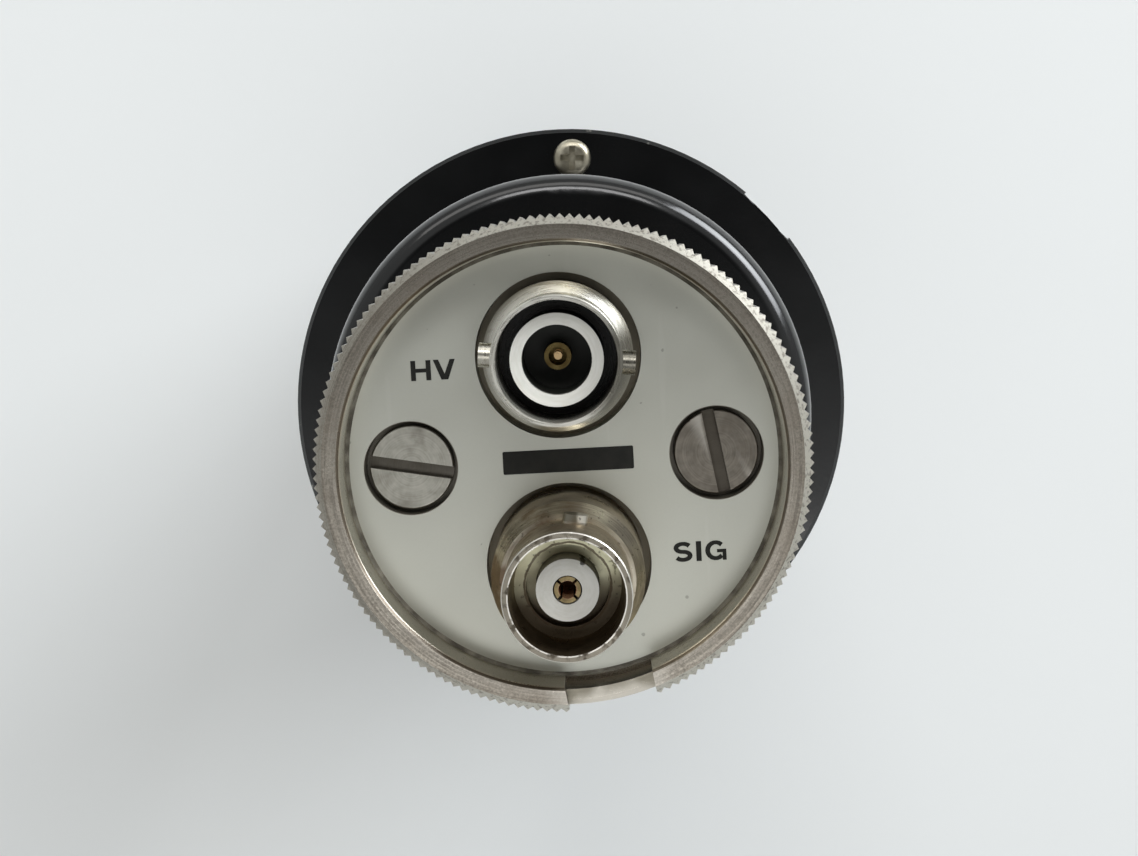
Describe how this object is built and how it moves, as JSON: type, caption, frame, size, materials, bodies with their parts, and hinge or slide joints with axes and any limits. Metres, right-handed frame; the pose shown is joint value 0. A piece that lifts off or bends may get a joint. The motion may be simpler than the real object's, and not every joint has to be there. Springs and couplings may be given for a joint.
{
  "type": "photomultiplier tube in its housing",
  "caption": "Photomultiplier tube in a black stepped cylindrical housing, with a knurled metal ring round a recessed panel that carries a high-voltage jack and a signal jack.",
  "frame": {"origin": "centre of the front rim of the barrel, on the surface that the part stands on", "axes": "+Z along the axis from the light aperture to the jacks, +Y towards the high-voltage jack"},
  "size_m": [0.058, 0.058, 0.1977],
  "materials": {
    "black_finish": "semi-gloss black finish on turned aluminium",
    "nickel": "dull nickel plate, grainy and tarnished",
    "panel_metal": "satin plate with printed legends",
    "screw_nickel": "worn nickel plate",
    "jack_nickel": "bright nickel plate, scratched",
    "jack_tarnished": "tarnished nickel plate",
    "white_insulator": "smooth white plastic",
    "gold_contact": "dull gold plate",
    "plate_metal": "plain aluminium",
    "rubber": "black rubber",
    "shield_metal": "annealed grey sheet",
    "sleeve_film": "amber film",
    "glass": "clear glass",
    "electrode": "grey nickel sheet and wire",
    "ceramic": "white ceramic",
    "phenolic": "brown moulded plastic",
    "brass": "turned brass",
    "board": "green laminate",
    "resistor": "tan lacquer",
    "capacitor": "blue lacquer",
    "red_wire": "red insulation",
    "black_wire": "black insulation"
  },
  "bodies": {
    "root": {"barrel": "black_finish", "front_ring": "black_finish", "rear_housing": "black_finish", "knurled_ring": "nickel", "connector_panel": "panel_metal", "panel_screws": "screw_nickel", "flange_screws": "screw_nickel", "hv_shell": "jack_nickel", "hv_washer": "jack_nickel", "hv_nut": "jack_nickel", "sig_shell": "jack_tarnished", "earth_tag": "jack_tarnished", "sig_nut": "jack_tarnished", "hv_insulator": "white_insulator", "sig_insulator": "white_insulator", "hv_contact": "gold_contact", "sig_contact": "gold_contact", "connector_plate": "plate_metal", "front_gasket": "rubber", "rear_pad": "rubber", "magnetic_shield": "shield_metal", "insulating_sleeve": "sleeve_film", "glass_tube": "glass", "focus_cup": "electrode", "dynodes": "electrode", "anode": "electrode", "tube_pins": "electrode", "support_plates": "ceramic", "tube_socket": "phenolic", "socket_screws": "brass", "lower_pillars": "brass", "upper_pillars": "brass", "divider_board": "board", "resistors": "resistor", "capacitors": "capacitor", "socket_wires": "red_wire", "hv_lead": "red_wire", "signal_lead": "black_wire"}
  },
  "joints": []
}
